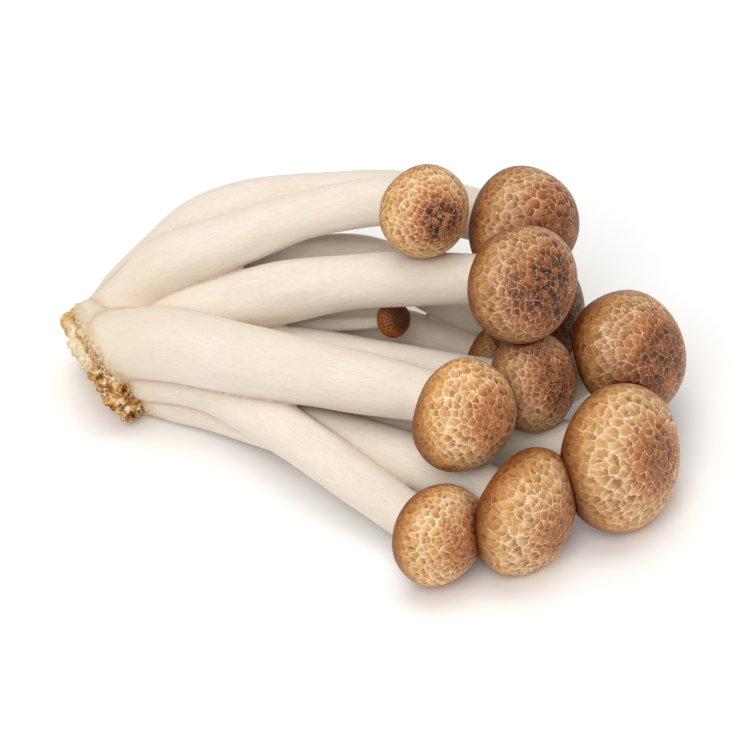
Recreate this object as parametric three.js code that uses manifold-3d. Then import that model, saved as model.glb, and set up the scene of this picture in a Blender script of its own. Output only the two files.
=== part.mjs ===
// A beech mushroom cluster, cut from its block and laid on its side. Twelve mushrooms grow from one foot: each has
// a cream stem, a brown cap whose margin is still rolled in, and a ring of gills under the cap. Millimetres, +Z up.
// The cluster is described on its broad face, x from the cut foot to the caps, y across the fan of stems and
// z out of the face. The whole fan then leans back and rests on its foot and two groups of caps.
import * as THREE from "three";
import { mergeVertices } from "three/addons/utils/BufferGeometryUtils.js";
import Module from "manifold-3d";

// Driving dimensions.
const LEAN_DEG = 45; // the face looks this far above the horizon once the cluster is laid down
const GAP = 0.3; // between pieces that touch
const SURFACE = -14.7; // height of that surface in the leaning face's own axes
const STEM_OVAL = 0.04; // stems are this much wider across the fan than they are deep
const BUTTON = 4; // a cap smaller than this hasn't opened, so its gills are still shut in

// A cap, in shares of its radius.
const CAP_RISE = 0.76; // from the widest level up to the top of the dome
const CAP_DROP = 0.31; // from the widest level down to the rolled margin
const WIDEST = -0.2; // the widest level, from the middle of the cap
const MARGIN = 0.17; // width of the rolled margin
const LIP = 0.76; // radius of the margin's inner lip
const LIP_LEVEL = -0.27; // and its height, from the widest level
const RECESS = 0.02; // ceiling of the recess that holds the gills, from the widest level
const GILL_EDGE = -0.25; // the gills' free edges, from the widest level
const GILL_VALLEY = -0.12; // the floor between two gills
const GILL_RIDGES = 20;
const STEM_END = -0.1; // where the stem meets the gills
const BUTTON_STEM_END = -0.46; // a button's stem meets its closed margin

// The foot that the stems grow from, and the crust of growing medium left on its cut face.
const FOOT = { at: [-43.2, 3.4, -12.8], across: 9.2, deep: 8.4, along: 6.4, growth: [0.82, 0.56, 0.12] };
const CUT_BEHIND = 0.9; // the cut face, behind the middle of the foot
const CRUST = { across: 10.2, deep: 8.8, thick: 2.4, shifted: 0.7 };

// The mushrooms, from the front of the face to the back. cap: where the middle of the cap is, the way its top
// looks, its radius, and how tall it is beside an ordinary cap. stem: points from the foot up, each with a radius.
const MUSHROOMS = [
  {
    cap: { at: [14.7, -6.8, 16], looks: [0.6, -0.32, 0.74], radius: 8.9, tall: 1.06 },
    stem: [[-45.6, 3.6, -11, 4.2], [-42.2, 4.8, -8, 5], [-33.5, 5, -2.5, 5.7], [-19.8, 2.2, 1.8, 5.5],
      [-5.5, -0.6, 5, 4.8]],
    neck: 4.1,
  },
  {
    cap: { at: [10.8, -25.1, 17], looks: [0.62, -0.34, 0.7], radius: 8.2, tall: 1.02 },
    stem: [[-40.6, -0.4, -10, 3.2], [-28.1, -1.4, -5.5, 3.9], [-19.8, -5.1, -0.5, 4], [-8.5, -12.5, 5.5, 3.8]],
    neck: 3.7,
  },
  {
    cap: { at: [8.6, 25.3, 8], looks: [0.6, -0.26, 0.76], radius: 7.5, tall: 1.2 },
    stem: [[-44.4, 8.4, -13, 3.6], [-39.6, 12.4, -11.5, 4.2], [-33.7, 17.2, -9, 4.8], [-21.6, 21.9, -5, 4.2],
      [-10.4, 25.7, -2, 3.7]],
    neck: 3.7,
  },
  {
    cap: { at: [24, 14, 12], looks: [0.59, -0.1, 0.8], radius: 9.4, tall: 1.04 },
    stem: [[-40.6, 7.6, -13, 3.8], [-28.1, 10.1, -8, 4.7], [-15.2, 13.1, -4, 4.9], [-2.4, 14.9, 0, 4.2]],
    neck: 3.9,
  },
  {
    cap: { at: [25.7, -1, 6], looks: [0.6, 0.05, 0.8], radius: 7.9, tall: 1 },
    stem: [[-40.6, 4, -14, 3.6], [-24.8, 4.6, -8.5, 4.1], [-11.9, 3.4, -5.8, 4.1], [0.8, 1.4, -3.2, 4]],
    neck: 3.8,
  },
  {
    cap: { at: [24.5, -22.1, 14.5], looks: [0.76, -0.4, 0.56], radius: 10.3, tall: 0.86 },
    stem: [[-38.6, -1.8, -13, 3.5], [-31.5, -3.6, -11.2, 4], [-26.6, -4.6, -9.2, 4.1], [-13.6, -8.2, -2.4, 4.4],
      [4, -13.4, 2.5, 4.5]],
    neck: 4.2,
  },
  {
    cap: { at: [39.9, -13.3, 9.2], looks: [0.77, -0.14, 0.62], radius: 12, tall: 0.88 },
    stem: [[-39.6, 0, -14, 3.6], [-20.1, -4.2, -8.6, 4], [-2.4, -6.4, -6.2, 4.1], [14, -9.2, -3.4, 4.2]],
    neck: 4.2,
  },
  {
    cap: { at: [24.6, 23.6, -1], looks: [0.67, -0.18, 0.71], radius: 9.4, tall: 1.4 },
    stem: [[-44, 9.2, -17, 3.8], [-40.1, 13.8, -16, 4.3], [-35, 18.4, -14.8, 4.5], [-29, 23.8, -13.4, 4.4],
      [-20.8, 27, -12.6, 4.4], [-6, 28.4, -11, 4.4], [4.6, 28.4, -10.4, 4.4]],
    neck: 4.1,
  },
  {
    cap: { at: [3.3, 8.9, -4], looks: [0.6, 0.1, 0.79], radius: 2.9, tall: 1.2 },
    stem: [[-38, 6.4, -14, 1.4], [-25.1, 7.6, -12.4, 1.3], [-12.1, 7.9, -10.4, 1.2], [-3.6, 8.2, -8.2, 1.1]],
    neck: 1.05,
  },
  {
    cap: { at: [26.9, 10.6, -6], looks: [0.74, 0.05, 0.66], radius: 9.9, tall: 0.96 },
    stem: [[-41, 8.4, -17, 3.6], [-25.2, 15.6, -15.4, 4], [-12.2, 18.2, -14.2, 4], [-3.4, 18.8, -14, 4],
      [4.4, 16.6, -14, 3.9], [12.5, 12.4, -13.4, 3.9]],
    neck: 3.8,
  },
  {
    cap: { at: [41.7, 3.8, 0], looks: [0.68, 0.2, 0.71], radius: 10.4, tall: 0.98 },
    stem: [[-40.6, 1.6, -16.4, 3.4], [-24, 1.2, -14, 3.8], [-6, 0, -12.6, 3.9], [14, -3.8, -10.4, 4],
      [26.4, -2.8, -9.4, 4]],
    neck: 4,
  },
  {
    cap: { at: [21.6, 0.8, -11.5], looks: [0.72, -0.3, 0.62], radius: 7.6, tall: 1.2 },
    stem: [[-41, 5, -17.6, 3.2], [-24, 8, -16, 3.5], [-8, 8.2, -15.6, 3.7], [4, 7, -16, 3.7]],
    neck: 3.6,
  },
];

const wasm = await Module();
wasm.setup();

const UP = new THREE.Vector3(0, 1, 0);
const OUT = new THREE.Vector3(0, 0, 1);

// The same few draws on every run.
let seed = 7;
function draw() {
  seed = (seed * 16807) % 2147483647;
  return seed / 2147483647;
}

// A closed geometry as a solid, in the axes that the matrix takes it to.
function solidOf(geometry, matrix = new THREE.Matrix4()) {
  const bare = new THREE.BufferGeometry();
  bare.setAttribute("position", geometry.getAttribute("position").clone());
  bare.setIndex(geometry.getIndex());
  bare.applyMatrix4(matrix);
  const merged = mergeVertices(bare, 1e-4);
  return new wasm.Manifold(
    new wasm.Mesh({
      numProp: 3,
      vertProperties: merged.attributes.position.array,
      triVerts: new Uint32Array(merged.index.array),
    })
  );
}

// A solid as a geometry, in the axes that the matrix takes it to.
function geometryOf(solid, matrix = new THREE.Matrix4()) {
  const mesh = solid.getMesh();
  const geometry = new THREE.BufferGeometry();
  geometry.setAttribute("position", new THREE.BufferAttribute(new Float32Array(mesh.vertProperties), 3));
  geometry.setIndex(new THREE.BufferAttribute(new Uint32Array(mesh.triVerts), 1));
  geometry.applyMatrix4(matrix);
  geometry.computeVertexNormals();
  return geometry;
}

// The largest body of a solid, without the scraps that a cut may leave.
function largestBody(solid) {
  const bodies = solid.decompose();
  return bodies.sort((a, b) => b.volume() - a.volume())[0];
}

function movePoints(geometry, move) {
  const position = geometry.getAttribute("position");
  const point = new THREE.Vector3();
  for (let i = 0; i < position.count; i++) {
    point.fromBufferAttribute(position, i);
    move(point);
    position.setXYZ(i, point.x, point.y, point.z);
  }
  return geometry;
}

// The outline of a cap from the top of the dome, round the rolled margin and up into the recess for the gills.
function capOutline(radius, tall) {
  const widest = WIDEST * radius * tall;
  const recess = [
    new THREE.Vector2(LIP * radius, widest + LIP_LEVEL * radius),
    new THREE.Vector2(LIP * radius, widest + RECESS * radius),
    new THREE.Vector2(0, widest + RECESS * radius),
  ];
  return [...domeOutline(radius, tall), ...recess];
}

// The same outline closed straight across below the margin: the whole room that a cap takes with its gills.
function capRoomOutline(radius, tall) {
  const outline = domeOutline(radius, tall);
  return [...outline, new THREE.Vector2(0, outline.at(-1).y)];
}

function domeOutline(radius, tall) {
  const widest = WIDEST * radius * tall;
  const dome = new THREE.EllipseCurve(0, widest, radius, CAP_RISE * radius * tall, Math.PI / 2, 0, true);
  const rolled = new THREE.EllipseCurve(
    (1 - MARGIN) * radius, widest, MARGIN * radius, CAP_DROP * radius, 0, -Math.PI / 2, true
  );
  return [...dome.getPoints(5), ...rolled.getPoints(3).slice(1)];
}

// Caps are never quite round: each is a little oval and lobed.
function lobed(geometry, shape) {
  return movePoints(geometry, (p) => {
    const angle = Math.atan2(p.z, p.x);
    const swell =
      1 + shape.oval * Math.cos(2 * (angle - shape.turn)) + shape.lobe * Math.cos(3 * angle + 2 * shape.turn);
    p.x *= swell;
    p.z *= swell;
  });
}

function capGeometry(cap, shape) {
  const outline = isButton(cap) ? capRoomOutline(cap.radius, cap.tall) : capOutline(cap.radius, cap.tall);
  return lobed(new THREE.LatheGeometry(outline.reverse(), capSides(cap)), shape);
}

function capRoomGeometry(cap, shape) {
  const outline = capRoomOutline(cap.radius, cap.tall).reverse();
  const size = 1 + GAP / cap.radius;
  return lobed(new THREE.LatheGeometry(outline, capSides(cap)), shape)
    .scale(size, size, size)
    .translate(0, -0.3 * GAP, 0);
}

function isButton(cap) {
  return cap.radius < BUTTON;
}

function capSides(cap) {
  return isButton(cap) ? 14 : 20;
}

// Gills: a disc in the recess, with ridges that run out from the stem to the margin.
function gillGeometry(cap, neck, shape) {
  const { radius, tall } = cap;
  const widest = WIDEST * radius * tall;
  const rim = LIP * radius - GAP;
  const socket = neck + GAP;
  const ceiling = widest + RECESS * radius - GAP;
  const outline = [
    new THREE.Vector2(0, widest + STEM_END * radius + GAP),
    new THREE.Vector2(socket, widest + STEM_END * radius + GAP),
    new THREE.Vector2(socket + 0.2, widest + GILL_EDGE * radius),
    new THREE.Vector2(rim, widest + 0.9 * GILL_EDGE * radius),
    new THREE.Vector2(rim, ceiling),
    new THREE.Vector2(0, ceiling),
  ];
  const geometry = new THREE.LatheGeometry(outline, 2 * GILL_RIDGES);
  movePoints(geometry, (p) => {
    const low = p.y < widest + GILL_VALLEY * radius;
    const step = Math.round((Math.atan2(p.x, p.z) / Math.PI) * GILL_RIDGES);
    if (low && Math.abs(step) % 2 === 1) p.y = widest + GILL_VALLEY * radius;
  });
  return lobed(geometry, { ...shape, oval: 0.9 * shape.oval, lobe: 0.9 * shape.lobe });
}

// A stem: a cylinder bent along its own curve, thicker or thinner as the points say.
function stemGeometry(mushroom, capMatrix, grown = 0) {
  const { radius, tall } = mushroom.cap;
  const onAxis = (share) => new THREE.Vector3(0, (WIDEST * tall + share) * radius, 0).applyMatrix4(capMatrix);
  const points = mushroom.stem.map(([x, y, z]) => new THREE.Vector3(x, y, z));
  const girths = mushroom.stem.map(([, , , r]) => r);
  const end = isButton(mushroom.cap) ? BUTTON_STEM_END : STEM_END;
  points.push(onAxis(-0.95), onAxis(-0.6), onAxis(end));
  girths.push(mushroom.neck, mushroom.neck, mushroom.neck);
  const curve = new THREE.CatmullRomCurve3(points, false, "centripetal");
  const last = points.length - 1;
  const sides = isButton(mushroom.cap) ? 8 : 12;
  const geometry = new THREE.CylinderGeometry(1, 1, 1, sides, 14);
  const centre = new THREE.Vector3();
  const along = new THREE.Vector3();
  const across = new THREE.Vector3();
  const deep = new THREE.Vector3();
  return movePoints(geometry, (p) => {
    const t = THREE.MathUtils.clamp(p.y + 0.5, 0, 1);
    const place = Math.min(Math.floor(t * last), last - 1);
    const between = THREE.MathUtils.smoothstep(t * last - place, 0, 1);
    const girth = THREE.MathUtils.lerp(girths[place], girths[place + 1], between) + grown;
    curve.getPoint(t, centre);
    curve.getTangent(t, along);
    across.crossVectors(OUT, along).normalize();
    deep.crossVectors(along, across);
    const x = p.x * girth * (1 + STEM_OVAL);
    const z = p.z * girth * (1 - STEM_OVAL);
    p.copy(centre).addScaledVector(across, x).addScaledVector(deep, -z);
  });
}

// The matrix that puts a piece with its own +Y axis at a place, looking a way.
function placed(at, looks) {
  const turn = new THREE.Quaternion().setFromUnitVectors(UP, new THREE.Vector3(...looks).normalize());
  return new THREE.Matrix4().compose(new THREE.Vector3(...at), turn, new THREE.Vector3(1, 1, 1));
}

function lumpy(geometry, size, height) {
  return movePoints(geometry, (p) => {
    const lump =
      Math.sin(p.x * size + 1.3) * Math.sin(p.z * size * 1.1 + 0.4) + 0.5 * Math.sin(p.y * size * 1.7 + p.x * size);
    p.multiplyScalar(1 + (height * lump) / p.length());
  });
}

// The foot, with its growth axis along its own +Y: a flattened ball, cut straight behind.
function footSolid() {
  const ball = lumpy(new THREE.SphereGeometry(1, 18, 12), 3, 0.05);
  ball.scale(FOOT.across, FOOT.along, FOOT.deep);
  const behind = new THREE.BoxGeometry(40, 20, 40).translate(0, -CUT_BEHIND - 10, 0);
  return solidOf(ball).subtract(solidOf(behind));
}

// The crust: a crumbly disc behind the cut face.
function crustSolid() {
  const crust = lumpy(new THREE.CylinderGeometry(1, 0.8, 1, 18, 3), 7, 0.09);
  crust.scale(CRUST.across, CRUST.thick, CRUST.deep);
  crust.translate(CRUST.shifted, -CUT_BEHIND - GAP - 0.5 * CRUST.thick + 0.3, 0);
  const above = new THREE.BoxGeometry(40, 20, 40).translate(0, -CUT_BEHIND - GAP + 10, 0);
  return solidOf(crust).subtract(solidOf(above));
}

const CREAM = new THREE.MeshStandardMaterial({ color: 0xe9dccb, roughness: 0.62, metalness: 0 });
const TAN = new THREE.MeshStandardMaterial({ color: 0xe3cfb2, roughness: 0.75, metalness: 0 });
const BROWN = new THREE.MeshStandardMaterial({ color: 0xb07a42, roughness: 0.45, metalness: 0 });
const GOLDEN = new THREE.MeshStandardMaterial({ color: 0xc89447, roughness: 0.9, metalness: 0 });

// The leaning face: its own axes, then the turn and the lift that lay it on the surface.
const cluster = new THREE.Group();
cluster.name = "cluster";
const lying = new THREE.Group();
lying.rotation.x = THREE.MathUtils.degToRad(90 - LEAN_DEG);
lying.position.z = -SURFACE;
lying.updateMatrix();
cluster.add(lying);

// Everything below the surface, in the face's axes.
const below = solidOf(
  new THREE.BoxGeometry(200, 200, 20).translate(0, 0, -10),
  lying.matrix.clone().invert()
);

function addPiece(name, solid, material, matrix = new THREE.Matrix4()) {
  const mesh = new THREE.Mesh(geometryOf(largestBody(solid), matrix.clone().invert()), material);
  mesh.name = name;
  matrix.decompose(mesh.position, mesh.quaternion, mesh.scale);
  lying.add(mesh);
}

const together = (solids) => solids.reduce((sum, solid) => sum.add(solid));
const without = (solid, cutters) => cutters.reduce((rest, cutter) => rest.subtract(cutter), solid);

for (const mushroom of MUSHROOMS) {
  mushroom.shape = { oval: 0.01 + 0.02 * draw(), lobe: 0.008 + 0.012 * draw(), turn: Math.PI * draw() };
  mushroom.matrix = placed(mushroom.cap.at, mushroom.cap.looks);
  mushroom.room = solidOf(capRoomGeometry(mushroom.cap, mushroom.shape), mushroom.matrix);
}

// Caps and gills give way to the caps in front of them, as soft flesh does where it is pressed.
MUSHROOMS.forEach(({ cap, shape, matrix, neck }, index) => {
  const number = String(index + 1).padStart(2, "0");
  const inFront = MUSHROOMS.slice(0, index).map((other) => other.room);
  const flesh = solidOf(capGeometry(cap, shape), matrix);
  addPiece(`cap_${number}`, without(flesh, [below, ...inFront]), BROWN, matrix);
  if (isButton(cap)) return;
  const gills = solidOf(gillGeometry(cap, neck, shape), matrix);
  addPiece(`gills_${number}`, without(gills, [below, ...inFront]), TAN, matrix);
});

// The stems and the foot are one flesh. A stem that leans on another mushroom's cap is dented by it.
const footMatrix = placed(FOOT.at, FOOT.growth);
function stemsSolid(grown) {
  return together(MUSHROOMS.map((mushroom) => {
    const others = MUSHROOMS.filter((other) => other !== mushroom).map((other) => other.room);
    return without(solidOf(stemGeometry(mushroom, mushroom.matrix, grown)), others);
  }));
}
const foot = footSolid().transform(footMatrix.elements);
addPiece("stems_and_foot", stemsSolid(0).add(foot).subtract(below), CREAM);

const crust = crustSolid().transform(footMatrix.elements);
addPiece("crust", without(crust, [below, stemsSolid(GAP)]), GOLDEN, footMatrix);

// The origin is on the surface, under the middle of the cluster.
const middle = new THREE.Box3().setFromObject(cluster, true).getCenter(new THREE.Vector3());
lying.position.x = -middle.x;
lying.position.y = -middle.y;

export default cluster;
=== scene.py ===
# The looks of the beech mushroom cluster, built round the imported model. Blender 4.5, metres, +Z up.
import math
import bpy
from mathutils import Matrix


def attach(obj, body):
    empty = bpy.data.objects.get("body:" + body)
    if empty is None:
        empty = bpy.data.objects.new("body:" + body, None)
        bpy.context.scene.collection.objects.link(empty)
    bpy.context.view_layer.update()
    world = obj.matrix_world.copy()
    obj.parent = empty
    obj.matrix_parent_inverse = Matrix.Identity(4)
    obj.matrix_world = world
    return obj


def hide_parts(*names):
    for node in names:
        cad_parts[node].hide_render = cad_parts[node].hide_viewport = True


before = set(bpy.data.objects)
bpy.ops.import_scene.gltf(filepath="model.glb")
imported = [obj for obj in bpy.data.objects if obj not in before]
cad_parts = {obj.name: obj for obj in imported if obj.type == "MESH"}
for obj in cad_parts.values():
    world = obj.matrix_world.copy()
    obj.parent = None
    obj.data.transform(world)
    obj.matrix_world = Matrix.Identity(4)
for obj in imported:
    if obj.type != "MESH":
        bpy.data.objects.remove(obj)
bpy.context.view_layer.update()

from types import SimpleNamespace

import bpy
import numpy as np
from mathutils import Vector

# The shapes are worked out in millimetres on the cluster's broad face: x from the cut foot to the caps,
# y across the fan of stems, z out of the face. The face then leans back and lies on the surface.
MM = 0.001
LEAN = math.radians(45)
FACE_ORIGIN = np.array([0.626, 1.697, 14.7])
GAP = 0.3

# A cap, in shares of its radius.
CAP_RISE = 0.76
CAP_DROP = 0.31
WIDEST = -0.2
MARGIN = 0.17
LIP = 0.76
LIP_LEVEL = -0.27
RECESS = 0.02
GILL_EDGE = -0.25
GILL_VALLEY = -0.12
STEM_END = -0.1
BUTTON_STEM_END = -0.46
BUTTON = 4.0
STEM_OVAL = 0.04

CAP_COLUMNS = 176
DOME_ROWS = 50
ROLL_ROWS = 16
GILL_COUNT = 72
GILL_COLUMNS = 6
# How far the painted shade between neighbouring caps reaches, in millimetres.
CAP_SHADE_REACH = 2.0

# The foot that the stems grow from, and the crust of growing medium on its cut face.
FOOT_AT = np.array([-43.2, 3.4, -12.8])
FOOT_GROWTH = (0.82, 0.56, 0.12)
FOOT_SIZE = np.array([9.2, 6.4, 8.4])
CUT_BEHIND = 0.9
CRUST_SIZE = np.array([10.2, 2.4, 8.8])
CRUST_SHIFT = 0.7

FLESH_VOXEL = 0.5
CRUST_VOXEL = 0.24

# The net on a cap: how many cells to a cap's radius, and the drifts that bend its lines, by scale and reach.
CELLS = 5.2
NET_DRIFTS = ((2.0, 0.2), (7.5, 0.13), (22.0, 0.045))

# The mushrooms, from the front of the face to the back. at is the middle of a cap, looks the way that its
# top faces, tall how high the dome is, and neck the stem's radius there. disc is how far the dark middle of
# the cap is from its top, right and up the face, and depth how dark that is. tone is 0 for an ordinary cap,
# up to 1 for a dusky one. stem lists places along its middle line, from the foot, with its radius at each.
MUSHROOMS = [
    dict(at=(14.7, -6.8, 16), looks=(0.6, -0.32, 0.74), radius=8.9, tall=1.06, neck=4.1,
         disc=(0.9, 1.9), depth=0.3, tone=0.0,
         stem=[(-45.6, 3.6, -11, 4.2), (-42.2, 4.8, -8, 5), (-33.5, 5, -2.5, 5.7), (-19.8, 2.2, 1.8, 5.5),
               (-5.5, -0.6, 5, 4.8)]),
    dict(at=(10.8, -25.1, 17), looks=(0.62, -0.34, 0.7), radius=8.2, tall=1.02, neck=3.7,
         disc=(0.6, 0.4), depth=0.1, tone=0.0,
         stem=[(-40.6, -0.4, -10, 3.2), (-28.1, -1.4, -5.5, 3.9), (-19.8, -5.1, -0.5, 4),
               (-8.5, -12.5, 5.5, 3.8)]),
    dict(at=(8.6, 25.3, 8), looks=(0.6, -0.26, 0.76), radius=7.5, tall=1.2, neck=3.7,
         disc=(-1.6, 0.4), depth=1.0, tone=0.08,
         stem=[(-44.4, 8.4, -13, 3.6), (-39.6, 12.4, -11.5, 4.2), (-33.7, 17.2, -9, 4.8),
               (-21.6, 21.9, -5, 4.2), (-10.4, 25.7, -2, 3.7)]),
    dict(at=(24, 14, 12), looks=(0.59, -0.1, 0.8), radius=9.4, tall=1.04, neck=3.9,
         disc=(0.2, 0.0), depth=1.0, tone=0.52,
         stem=[(-40.6, 7.6, -13, 3.8), (-28.1, 10.1, -8, 4.7), (-15.2, 13.1, -4, 4.9),
               (-2.4, 14.9, 0, 4.2)]),
    dict(at=(25.7, -1, 6), looks=(0.6, 0.05, 0.8), radius=7.9, tall=1, neck=3.8,
         disc=(0.0, 0.0), depth=0.8, tone=0.22,
         stem=[(-40.6, 4, -14, 3.6), (-24.8, 4.6, -8.5, 4.1), (-11.9, 3.4, -5.8, 4.1), (0.8, 1.4, -3.2, 4)]),
    dict(at=(24.5, -22.1, 14.5), looks=(0.76, -0.4, 0.56), radius=10.3, tall=0.86, neck=4.2,
         disc=(0.4, -0.4), depth=0.35, tone=0.08,
         stem=[(-38.6, -1.8, -13, 3.5), (-31.5, -3.6, -11.2, 4), (-26.6, -4.6, -9.2, 4.1),
               (-13.6, -8.2, -2.4, 4.4), (4, -13.4, 2.5, 4.5)]),
    dict(at=(39.9, -13.3, 9.2), looks=(0.77, -0.14, 0.62), radius=12, tall=0.88, neck=4.2,
         disc=(0.0, 0.8), depth=0.5, tone=0.16,
         stem=[(-39.6, 0, -14, 3.6), (-20.1, -4.2, -8.6, 4), (-2.4, -6.4, -6.2, 4.1),
               (14, -9.2, -3.4, 4.2)]),
    dict(at=(24.6, 23.6, -1), looks=(0.67, -0.18, 0.71), radius=9.4, tall=1.4, neck=4.1,
         disc=(0.2, 0.6), depth=0.55, tone=0.38,
         stem=[(-44, 9.2, -17, 3.8), (-40.1, 13.8, -16, 4.3), (-35, 18.4, -14.8, 4.5),
               (-29, 23.8, -13.4, 4.4), (-20.8, 27, -12.6, 4.4), (-6, 28.4, -11, 4.4),
               (4.6, 28.4, -10.4, 4.4)]),
    dict(at=(3.3, 8.9, -4), looks=(0.6, 0.1, 0.79), radius=2.9, tall=1.2, neck=1.05,
         disc=(0.0, 0.0), depth=0.5, tone=0.45,
         stem=[(-38, 6.4, -14, 1.4), (-25.1, 7.6, -12.4, 1.3), (-12.1, 7.9, -10.4, 1.2),
               (-3.6, 8.2, -8.2, 1.1)]),
    dict(at=(26.9, 10.6, -6), looks=(0.74, 0.05, 0.66), radius=9.9, tall=0.96, neck=3.8,
         disc=(0.0, 0.0), depth=0.8, tone=0.6,
         stem=[(-41, 8.4, -17, 3.6), (-25.2, 15.6, -15.4, 4), (-12.2, 18.2, -14.2, 4), (-3.4, 18.8, -14, 4),
               (4.4, 16.6, -14, 3.9), (12.5, 12.4, -13.4, 3.9)]),
    dict(at=(41.7, 3.8, 0), looks=(0.68, 0.2, 0.71), radius=10.4, tall=0.98, neck=4,
         disc=(0.0, -1.6), depth=0.75, tone=0.46,
         stem=[(-40.6, 1.6, -16.4, 3.4), (-24, 1.2, -14, 3.8), (-6, 0, -12.6, 3.9), (14, -3.8, -10.4, 4),
               (26.4, -2.8, -9.4, 4)]),
    dict(at=(21.6, 0.8, -11.5), looks=(0.72, -0.3, 0.62), radius=7.6, tall=1.2, neck=3.6,
         disc=(0.0, 0.0), depth=0.7, tone=0.45,
         stem=[(-41, 5, -17.6, 3.2), (-24, 8, -16, 3.5), (-8, 8.2, -15.6, 3.7), (4, 7, -16, 3.7)]),
]


# Draws the same few shape values for each mushroom as the solids have.
def shape_draws():
    seed = 7
    while True:
        seed = (seed * 16807) % 2147483647
        yield seed / 2147483647


draws = shape_draws()
for number, mushroom in enumerate(MUSHROOMS, 1):
    mushroom["number"] = number
    mushroom["oval"] = 0.01 + 0.02 * next(draws)
    mushroom["lobe"] = 0.008 + 0.012 * next(draws)
    mushroom["turn"] = math.pi * next(draws)
    turn = Vector((0, 1, 0)).rotation_difference(Vector(mushroom["looks"]).normalized())
    mushroom["axes"] = np.array(turn.to_matrix())
    mushroom["at"] = np.array(mushroom["at"], float)


def face_to_world(points):
    across, up = math.cos(LEAN), math.sin(LEAN)
    x, y, z = points.T
    return (np.stack([x, across * y - up * z, up * y + across * z], axis=1) + FACE_ORIGIN) * MM


def world_height(points):
    return math.sin(LEAN) * points[:, 1] + math.cos(LEAN) * points[:, 2] + FACE_ORIGIN[2]


def to_local(points, mushroom):
    return (points - mushroom["at"]) @ mushroom["axes"]


def to_face(points, mushroom):
    return points @ mushroom["axes"].T + mushroom["at"]


# Smooth unevenness between about -1 and 1: a sum of waves in seeded directions, about size millimetres long.
def unevenness(points, size, seed, waves=16):
    rng = np.random.default_rng(seed)
    directions = rng.normal(size=(waves, 3))
    directions /= np.linalg.norm(directions, axis=1, keepdims=True)
    lengths = size * rng.uniform(0.6, 1.6, waves)
    phases = rng.uniform(0, 2 * math.pi, waves)
    total = np.zeros(len(points))
    for direction, length, phase in zip(directions, lengths, phases):
        total += np.sin(points @ direction * (2 * math.pi / length) + phase)
    return total / math.sqrt(waves)


def smoothstep(value, low, high):
    share = np.clip((value - low) / (high - low), 0, 1)
    return share * share * (3 - 2 * share)


# A cap isn't quite round: it is a little oval and lobed.
def swell(mushroom, angle):
    oval = mushroom["oval"] * np.cos(2 * (angle - mushroom["turn"]))
    return 1 + oval + mushroom["lobe"] * np.cos(3 * angle + 2 * mushroom["turn"])


# The outline from the top of the dome to the bottom of the rolled margin: way from the axis, and height.
def dome_outline(mushroom, dome_rows, roll_rows):
    radius, tall = mushroom["radius"], mushroom["tall"]
    widest = WIDEST * radius * tall
    over = np.linspace(math.pi / 2, 0, dome_rows + 1)
    dome = np.stack([radius * np.cos(over), widest + CAP_RISE * radius * tall * np.sin(over)], axis=1)
    under = np.linspace(0, -math.pi / 2, roll_rows + 1)[1:]
    roll = np.stack(
        [(1 - MARGIN + MARGIN * np.cos(under)) * radius, widest + CAP_DROP * radius * np.sin(under)], axis=1
    )
    dome[0, 0] = 0
    return np.concatenate([dome, roll])


def cap_outline(mushroom):
    radius = mushroom["radius"]
    widest = WIDEST * radius * mushroom["tall"]
    if radius < BUTTON:
        shares = [(0.7, -0.33), (0.5, -0.36), (0.38, -0.33), (0, -0.33)]
    else:
        shares = [(0.795, -0.315), (0.77, -0.3), (LIP, LIP_LEVEL), (LIP, -0.18), (LIP, -0.08), (LIP, RECESS),
                  (0.5, RECESS), (0, RECESS)]
    inner = np.array([(share * radius, widest + level * radius) for share, level in shares])
    return np.concatenate([dome_outline(mushroom, DOME_ROWS, ROLL_ROWS), inner])


# Points and faces of an outline turned about +Y. The outline starts and ends on the axis.
def turned(outline, columns):
    angles = np.arange(columns) / columns * 2 * math.pi
    rings = outline[1:-1]
    across = rings[:, :1]
    heights = np.repeat(rings[:, 1:], columns, axis=1)
    points = np.stack([across * np.cos(angles), heights, across * np.sin(angles)], axis=2).reshape(-1, 3)
    points = np.concatenate([[(0, outline[0, 1], 0)], points, [(0, outline[-1, 1], 0)]])
    step = np.arange(columns)
    after = (step + 1) % columns
    faces = [(0, 1 + b, 1 + a) for a, b in zip(step, after)]
    for ring in range(len(rings) - 1):
        near, far = 1 + ring * columns, 1 + (ring + 1) * columns
        faces += [(near + a, near + b, far + b, far + a) for a, b in zip(step, after)]
    last, bottom = 1 + (len(rings) - 1) * columns, len(points) - 1
    faces += [(last + a, last + b, bottom) for a, b in zip(step, after)]
    return points, faces


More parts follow.
